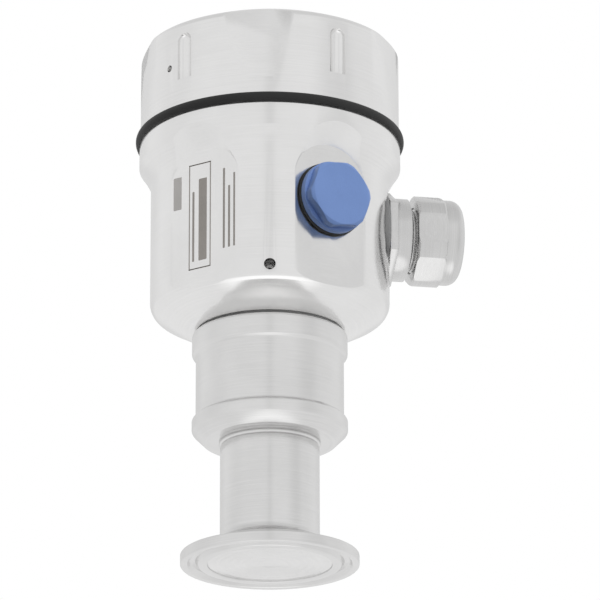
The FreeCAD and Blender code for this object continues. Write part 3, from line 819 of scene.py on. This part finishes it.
def makeGland(s):
    def fit(piece, *finishing):
        layRadial(piece, 0, s["height"])
        finishPiece(piece, *finishing)

    shankCore = s["shank"] - s["shankDepth"]
    lap = s["flangeTop"] - s["flangeLap"]
    outline = [(s["bore"], s["shankEnd"])]
    outline += threadOutline(shankCore, s["shank"], s["shankEnd"] + s["shankFoot"], s["seat"], s["pitch"])
    outline += [(shankCore, lap), (s["barrel"], lap), (s["barrel"], s["barrelTop"]),
                (s["core"], s["barrelTop"])]
    outline += threadOutline(s["core"], s["thread"], s["barrelTop"] + s["threadFoot"],
                             s["threadTop"] - s["threadEnd"], s["pitch"])
    outline += [(s["core"], s["threadTop"]), (s["sealSeat"], s["threadTop"]), (s["sealSeat"], s["sealFoot"]),
                (s["bore"], s["sealFoot"])]
    body = turnPiece("glandBody", outline, steps=96)
    softenEdges(body, 0.3, 2, 60)
    mergeNear(body)
    flange = barPiece("flange", s["hex"], s["gasketTop"], s["flangeTop"], 6)
    cutAway(flange, barPiece("cutter", s["flangeBore"], s["seat"], s["barrelTop"], 96))
    softenEdges(flange, 0.3, 2, 25)
    fit(joinPieces([body, flange], "glandBody"), nickelPlate, "housing", "nickel", "gland_body")

    outline = ringOutline(s["gasketBore"], s["gasket"], s["seat"], s["gasketTop"])
    gasket = turnPiece("glandGasket", outline, steps=96)
    softenEdges(gasket, 0.5, 3)
    fit(gasket, gasketRubber, "housing", "black_rubber", "gland_gasket")

    dome = arcPoints((s["nutDome"] - s["nutRound"], s["nutTop"] - s["nutRound"]), s["nutRound"], 0, 90, 10)
    chamfer = s["nutChamfer"]
    stepOut, stepDown = s["domeStep"]
    outline = [(s["nutBore"], s["nutFoot"]), (s["nutTurned"] - chamfer, s["nutFoot"]),
               (s["nutTurned"], s["nutFoot"] + chamfer), (s["nutTurned"], s["domeFoot"] - stepDown),
               (s["nutDome"] + stepOut, s["domeFoot"]), (s["nutDome"], s["domeFoot"])] + dome
    outline += [(s["mouth"], s["nutTop"]), (s["mouth"], s["clampTop"]), (s["nutBore"], s["clampTop"])]
    trim = turnPiece("trim", outline, steps=120)
    nut = barPiece("glandNut", s["nutHex"], s["nutFoot"], s["nutTop"], 6)
    cutAway(nut, trim, how="INTERSECT")
    tidyCuts(nut)
    softenEdges(nut, 0.35, 3, 20)
    fit(nut, nickelPlate, "nut", "nickel", "gland_nut")

    outline = ringOutline(s["mouth"], s["clamp"], s["threadTop"], s["clampTop"])
    clamp = turnPiece("glandClamp", outline, steps=72)
    softenEdges(clamp, 0.3, 2)
    fit(clamp, whitePlastic, "clamp_ring", "white_plastic", "gland_clamp")

    lead = s["sealLead"]
    outline = [(s["cable"], s["sealFoot"] + lead), (s["cable"] + lead, s["sealFoot"]),
               (s["sealR"], s["sealFoot"]), (s["sealR"], s["sealTop"]),
               (s["cable"] + s["sealFlare"], s["sealTop"]), (s["cable"], s["threadTop"] - s["sealDip"])]
    seal = turnPiece("glandSeal", outline, steps=72)
    softenEdges(seal, 0.2, 2)
    fit(seal, blackRubber, "housing", "black_rubber", "gland_seal")


makeGland(glandSet)
print("plug and gland modelled")


# electronics under the cover

traySet = {"foot": 107.5, "floor": 109.1, "ledge": 111.0, "top": 113.0, "dish": 22.2, "flange": 26.7,
           "board": 20.6, "boardFoot": 111.5, "inner": 19.0, "wayStart": 15.0, "wayWidth": 12.0,
           "wayReach": 20.0, "screws": (60.0, 180.0, 240.0), "screwAt": 24.75, "screwHole": 1.3,
           "groove": (22.0, 22.6), "grooveDepth": 0.35, "edge": 0.3}


def wireWay(s):
    reach = s["wayReach"]
    return boxPiece("cutter", (reach, s["wayWidth"], reach), (s["wayStart"] + reach / 2, 0, s["ledge"]))


def makeTray(s):
    bed = s["top"] - s["grooveDepth"]
    near, far = s["groove"]
    outline = [(0, s["foot"]), (s["dish"], s["foot"]), (s["dish"], s["ledge"]), (s["flange"], s["ledge"]),
               (s["flange"], s["top"]), (far, s["top"]), (far, bed), (near, bed), (near, s["top"]),
               (s["board"], s["top"]), (s["board"], s["boardFoot"]),
               (s["inner"], s["boardFoot"]), (s["inner"], s["floor"]), (0, s["floor"])]
    piece = turnPiece("insertTray", outline)
    cutAway(piece, wireWay(s))
    for angle in s["screws"]:
        hole = barPiece("cutter", 2 * s["screwHole"], s["foot"], s["top"] + 1, 32)
        moveBy(hole, (s["screwAt"], 0, 0))
        cutAway(piece, turnBy(hole, angle))
    tidyCuts(piece)
    softenEdges(piece, s["edge"], 2)
    return finishPiece(piece, greyPlastic, "housing", "grey_plastic", "electronics_insert")


makeTray(traySet)

boardSet = {"radius": 20.55, "foot": 111.5, "top": 113.0, "hole": 0.8, "edge": 0.12,
            "holes": ((-10.5, 14.5), (10.5, 14.5), (-12.0, -13.5), (12.0, -13.5))}


def makeBoard(s):
    piece = barPiece("boardPlate", 2 * s["radius"], s["foot"], s["top"], 128)
    cutAway(piece, wireWay(traySet))
    for x, y in s["holes"]:
        cutAway(piece, moveBy(barPiece("cutter", 2 * s["hole"], s["foot"] - 1, s["top"] + 1, 24), (x, y, 0)))
    softenEdges(piece, s["edge"], 2)
    return finishPiece(piece, boardResist, "housing", "board", "circuit_board")


makeBoard(boardSet)

# parts on the board: chips as (place, size, pins on a side), and small blocks with plated ends
chipSet = {"top": 113.0, "stand": 0.15, "pinWidth": 0.35, "pinReach": 0.7, "pinThick": 0.18, "edge": 0.12,
           "chips": (((0.0, 14.6), (6.4, 6.4, 1.3), 7), ((-14.3, 2.4), (3.6, 4.0, 1.3), 4),
                     ((12.4, 10.4), (2.6, 3.4, 1.2), 3)),
           "blocks": (tuple((-9.1 + 2.6 * n, 3.0) for n in range(8))
                      + tuple((-7.8 + 3.1 * n, -15.4) for n in range(6))),
           "block": (1.0, 0.9, 0.6), "blockEnd": (0.35, 0.95, 0.62), "solder": 0.02, "endSolder": 0.01,
           "can": (-14.2, 9.2), "canR": 2.3, "canHeight": 5.2, "canBase": 0.6, "canLip": 0.25,
           "plugPlace": (-15.3, -5.0), "plugSize": (3.8, 6.8, 4.2), "plugWall": 1.4, "plugFloor": 1.0}


def makeBoardParts(s):
    bodies = []
    metal = []
    for (x, y), (wide, long, high), pins in s["chips"]:
        bodies.append(boxPiece("chip", (wide, long, high), (x, y, s["top"] + s["stand"] + high / 2)))
        pitch = long / pins
        for number in range(pins):
            lead = (wide + 2 * s["pinReach"], s["pinWidth"], s["pinThick"])
            place = (x, y + (number - (pins - 1) / 2) * pitch, s["top"] + s["pinThick"] / 2 + s["solder"])
            metal.append(boxPiece("lead", lead, place))
    for x, y in s["blocks"]:
        wide, long, high = s["block"]
        bodies.append(boxPiece("block", s["block"], (x, y, s["top"] + high / 2 + s["solder"])))
        for side in (-1, 1):
            end = s["blockEnd"]
            level = s["top"] + end[2] / 2 + s["endSolder"]
            metal.append(boxPiece("end", end, (x + side * (wide + end[0]) / 2, y, level)))
    lip = s["canR"] - s["canLip"]
    foot = s["top"] + s["canBase"]
    top = foot + s["canHeight"]
    outline = [(0, foot), (s["canR"], foot), (s["canR"], foot + 0.9), (lip, foot + 1.1), (lip, foot + 1.4),
               (s["canR"], foot + 1.6), (s["canR"], top - 0.4), (lip - 0.15, top), (0, top)]
    can = turnPiece("can", outline, steps=48)
    metal.append(moveBy(can, s["can"] + (0,)))
    base = (2 * s["canR"], 2 * s["canR"], s["canBase"])
    bodies.append(boxPiece("canBase", base, s["can"] + (s["top"] + s["canBase"] / 2,)))
    wide, long, high = s["plugSize"]
    header = boxPiece("header", s["plugSize"], s["plugPlace"] + (s["top"] + high / 2,))
    well = (wide - s["plugWall"], long - s["plugWall"], high)
    cutAway(header, boxPiece("cutter", well, s["plugPlace"] + (s["top"] + high / 2 + s["plugFloor"],)))
    softenEdges(header, s["edge"], 2)
    chips = joinPieces(bodies, "boardChips")
    leads = joinPieces(metal, "boardLeads")
    softenEdges(chips, s["edge"], 2)
    softenEdges(leads, 0.05, 1, 50)
    header.name = "boardHeader"
    finishPiece(chips, keyPlastic, "housing", "key_plastic")
    finishPiece(leads, screwSteel, "housing", "plain_steel")
    finishPiece(header, whitePlastic, "housing", "white_plastic")


makeBoardParts(chipSet)

terminalSet = {"size": (24.0, 10.0, 9.0), "place": (0.0, -7.0), "foot": 113.0, "pitch": 7.2, "count": 3,
               "well": 1.85, "screwFoot": 117.0, "screwLength": 4.0, "screw": 1.8, "neck": 0.3, "wire": 1.3,
               "wireAt": 115.0, "rib": 0.7, "ribDepth": 0.45, "slot": 0.7, "slotDepth": 0.9,
               "slotTurn": (25, 40), "edge": 0.25, "screwEdge": 0.06}


def makeTerminals(s):
    x0, y0 = s["place"]
    deep, high = s["size"][1:]
    top = s["foot"] + high
    block = boxPiece("terminalHousing", s["size"], (x0, y0, s["foot"] + high / 2))
    screws = []
    for number in range(s["count"]):
        x = x0 + (number - (s["count"] - 1) / 2) * s["pitch"]
        cutAway(block, moveBy(barPiece("cutter", 2 * s["well"], s["screwFoot"], top + 1, 40), (x, y0, 0)))
        wire = turnBy(barPiece("cutter", 2 * s["wire"], -deep / 2, deep / 2, 32), 90, "X")
        cutAway(block, moveBy(wire, (x, y0 - deep / 2, s["wireAt"])))
        head = s["screwFoot"] + s["screwLength"]
        radius = s["screw"]
        neck = radius - s["neck"]
        outline = [(0, s["screwFoot"]), (neck, s["screwFoot"]), (neck, head - 1.6), (radius, head - 1.4),
                   (radius, head - s["neck"]), (neck, head), (0, head)]
        screw = turnPiece("screw", outline, steps=40)
        slot = boxPiece("cutter", (s["slot"], 2 * s["screw"] + 1, 2), (0, 0, head - s["slotDepth"] + 1))
        cutAway(screw, turnBy(slot, s["slotTurn"][0] + s["slotTurn"][1] * number))
        screws.append(moveBy(screw, (x, y0, 0)))
    for side in (-0.5, 0.5):
        across = (s["rib"], deep + 2, 2 * s["ribDepth"])
        upright = (s["rib"], 2 * s["ribDepth"], high + 2)
        x = x0 + side * s["pitch"]
        cutAway(block, boxPiece("cutter", across, (x, y0, top)))
        cutAway(block, boxPiece("cutter", upright, (x, y0 - deep / 2, s["foot"] + high / 2)))
    tidyCuts(block)
    softenEdges(block, s["edge"], 2)
    finishPiece(block, terminalPlastic, "housing", "terminal_plastic", "terminal_block")
    screw = joinPieces(screws, "terminalScrews")
    softenEdges(screw, s["screwEdge"], 2)
    finishPiece(screw, screwSteel, "housing", "plain_steel", "terminal_screws")


makeTerminals(terminalSet)

keySet = {"places": {"zero": (-7.0, 8.5), "span": (7.0, 8.5)}, "base": (6.0, 6.0, 3.5), "foot": 113.0,
          "keyFoot": 115.0, "keyTop": 118.0, "radius": 1.5, "rim": (0.15, 0.3), "hole": 1.56,
          "holeFoot": 114.2, "dish": 0.18, "rivet": 0.55, "rivetIn": 0.9, "edge": 0.2}


def makeKeys(s):
    bases = []
    for name, (x, y) in s["places"].items():
        wide, long, high = s["base"]
        top = s["foot"] + high
        base = boxPiece("base", s["base"], (x, y, s["foot"] + high / 2))
        cutAway(base, moveBy(barPiece("cutter", 2 * s["hole"], s["holeFoot"], top + 1, 40), (x, y, 0)))
        softenEdges(base, s["edge"], 2)
        for corner in ((-1, -1), (-1, 1), (1, -1), (1, 1)):
            outline = [(0, top - 0.2), (s["rivet"], top - 0.2), (s["rivet"], top - 0.05),
                       (0.6 * s["rivet"], top - 0.005), (0, top - 0.005)]
            dot = turnPiece("rivet", outline, steps=20)
            across = corner[0] * (wide / 2 - s["rivetIn"])
            up = corner[1] * (long / 2 - s["rivetIn"])
            bases.append(moveBy(dot, (x + across, y + up, 0)))
        bases.append(base)
        r = s["radius"]
        low, high = s["rim"]
        outline = [(0, s["keyFoot"]), (r - low, s["keyFoot"]), (r, s["keyFoot"] + low),
                   (r, s["keyTop"] - high), (r - high, s["keyTop"]),
                   (0.55 * r, s["keyTop"] - 0.3 * s["dish"]), (0, s["keyTop"] - s["dish"])]
        key = turnPiece(name + "Key", outline, steps=48)
        finishPiece(moveBy(key, (x, y, 0)), keyPlastic, name + "_key", "key_plastic", name + "_key", angle=45)
    finishPiece(joinPieces(bases, "keyBases"), greyPlastic, "housing", "grey_plastic", "key_bases")


makeKeys(keySet)

fixSet = {"angles": (60.0, 180.0, 240.0), "at": 24.75, "foot": 105.0, "seat": 113.0, "top": 114.6,
          "thread": 1.2, "threadFoot": 0.2, "threadEnd": 0.4, "core": 0.95, "head": 2.1, "headRound": 0.9,
          "pitch": 0.6, "cross": 0.55, "crossReach": 2.4, "crossDepth": 0.8, "crossTurn": 20}


def makeFixings(s):
    screws = []
    for angle in s["angles"]:
        outline = [(0, s["foot"])]
        outline += threadOutline(s["core"], s["thread"], s["foot"] + s["threadFoot"],
                                 s["seat"] - s["threadEnd"], s["pitch"])
        bend = s["headRound"]
        dome = arcPoints((s["head"] - bend, s["top"] - bend), bend, 0, 90, 6)
        outline += [(s["core"], s["seat"]), (s["head"], s["seat"])] + dome + [(0, s["top"])]
        screw = turnPiece("screw", outline, steps=36)
        for side in (0, 90):
            bar = boxPiece("cutter", (s["cross"], s["crossReach"], 2), (0, 0, s["top"] - s["crossDepth"] + 1))
            cutAway(screw, turnBy(bar, side + s["crossTurn"]))
        screws.append(turnBy(moveBy(screw, (s["at"], 0, 0)), angle))
    finishPiece(joinPieces(screws, "insertScrews"), screwSteel, "housing", "plain_steel", "insert_screws")


makeFixings(fixSet)
print("electronics modelled")


# finishes for the nodes that stay as they are

nodeFinish = {"capillary": satinSteel, "measuring_cell": satinSteel, "sensor_lead": leadSheath,
              "swivel_spigot": satinSteel, "spigot_seal": blackRubber, "retaining_ring": screwSteel}
for name, finish in nodeFinish.items():
    nodes[name].data.materials.clear()
    nodes[name].data.materials.append(finish)


# stage: pale floor, soft lamps, white surround and the camera below the object

stageSet = {"floor": 12.0, "floorDrop": 0.0002, "floorGrey": 0.92, "camera": (-0.2292, -1.3000, -0.379),
            "aim": (0.00851, -0.0015, 0.079), "lens": 292.7, "sensor": 36.0, "clipEnd": 20.0, "roll": -0.125}


def makeFloor(s):
    clearSelection()
    bpy.ops.mesh.primitive_plane_add(size=s["floor"], location=(0, 0, -s["floorDrop"]))
    floor = bpy.context.object
    floor.name = "floor"
    finish = bpy.data.materials.new("paleFloor")
    finish.use_nodes = True
    tree = finish.node_tree
    tree.nodes.clear()
    start = Wire(tree)
    behind = start.add("ShaderNodeNewGeometry", output=6)
    seen = start.add("ShaderNodeLightPath", output=0)
    pale = start.add("ShaderNodeBsdfDiffuse", None, {"Color": grey(s["floorGrey"])})
    clear = start.add("ShaderNodeBsdfTransparent")
    shown = start.add("ShaderNodeMixShader", None, {0: seen * (1 - behind), 1: clear, 2: pale})
    end = tree.nodes.new("ShaderNodeOutputMaterial")
    tree.links.new(shown.out, end.inputs["Surface"])
    floor.data.materials.append(finish)


makeFloor(stageSet)


lampSet = {"aim": (0, 0, 0.09), "lamps": {"keyLamp": ((0.75, -1.3, 0.75), 0.5, 7.5),
                                          "fillLamp": ((-1.2, -0.9, 0.5), 0.8, 0.3)}}


def addLamp(name, place, aim, size, power):
    data = bpy.data.lights.new(name, "AREA")
    data.shape = "DISK"
    data.size = size
    data.energy = power
    lamp = bpy.data.objects.new(name, data)
    lamp.location = place
    lamp.rotation_euler = (Vector(aim) - Vector(place)).to_track_quat("-Z", "Y").to_euler()
    lamp.visible_glossy = False  # metal mirrors only the surround
    bpy.context.scene.collection.objects.link(lamp)


for name, (place, size, power) in lampSet["lamps"].items():
    addLamp(name, place, lampSet["aim"], size, power)

# the surround's level as metal mirrors it, and the light that plastic and rubber get
surroundSet = {"front": -100.0, "level": 0.87, "under": 0.40, "strip": 0.12, "sides": 0.04, "right": 0.12,
               "above": 0.12, "behind": 0.12, "plasticLeast": 0.05, "plasticSpan": 0.80}


def makeWorld(s):
    world = bpy.data.worlds.new("whiteSurround")
    bpy.context.scene.world = world
    world.use_nodes = True
    tree = world.node_tree
    tree.nodes.clear()
    start = Wire(tree)
    paths = [start.add("ShaderNodeLightPath", output=n) for n in (0, 3, 6)]
    way = start.add("ShaderNodeTexCoord", output=0)
    x, y, z = parts(way)
    front = math.radians(s["front"])
    ahead = x * math.cos(front) + y * math.sin(front)    # towards the camera
    aside = x * -math.sin(front) + y * math.cos(front)   # to the camera's right
    low = 1 - z.soft(-0.75, -0.42)
    strip = (1 - aside.calc("ABSOLUTE").soft(0.02, 0.10)) * ahead.soft(0.0, 0.3) * (1 - low)
    sides = 1 - ahead.calc("ABSOLUTE").soft(0.05, 0.5)
    right = aside.soft(0.55, 0.85) * ahead.soft(0.1, 0.4)
    under = 1 - z.soft(-0.97, -0.86)
    above = z.soft(0.5, 0.8)
    behind = (1 - ahead.soft(-0.95, -0.55)) * z.soft(-0.15, 0.1)
    level = s["level"] + under * s["under"] - strip * s["strip"] - sides * s["sides"] - right * s["right"]
    level = level - above * s["above"] - behind * s["behind"]
    mirrored = start.add("ShaderNodeBackground", None, {"Color": grey(1.0), "Strength": level})
    white = start.add("ShaderNodeBackground", None, {"Color": grey(1.0), "Strength": 1.0})
    lit = (aside * 0.55 + z * 0.85).soft(-0.75, 0.55)    # most from the upper right
    soft = s["plasticLeast"] + lit * s["plasticSpan"]
    light = start.add("ShaderNodeBackground", None, {"Color": grey(1.0), "Strength": soft})
    seen = (paths[0] + paths[2]).calc("MINIMUM", 1.0)
    shown = start.add("ShaderNodeMixShader", None, {0: seen, 1: light, 2: white})
    mixed = start.add("ShaderNodeMixShader", None, {0: paths[1], 1: shown, 2: mirrored})
    end = tree.nodes.new("ShaderNodeOutputWorld")
    tree.links.new(mixed.out, end.inputs["Surface"])


makeWorld(surroundSet)

cameraData = bpy.data.cameras.new("photoCamera")
cameraData.lens = stageSet["lens"]
cameraData.sensor_width = stageSet["sensor"]
cameraData.clip_end = stageSet["clipEnd"]
camera = bpy.data.objects.new("photoCamera", cameraData)
camera.location = stageSet["camera"]
aimed = (Vector(stageSet["aim"]) - Vector(stageSet["camera"])).to_track_quat("-Z", "Y").to_matrix()
camera.rotation_euler = (aimed @ Matrix.Rotation(math.radians(stageSet["roll"]), 3, "Z")).to_euler()
bpy.context.scene.collection.objects.link(camera)
bpy.context.scene.camera = camera
bpy.context.scene.view_settings.view_transform = "Standard"
print("stage set")
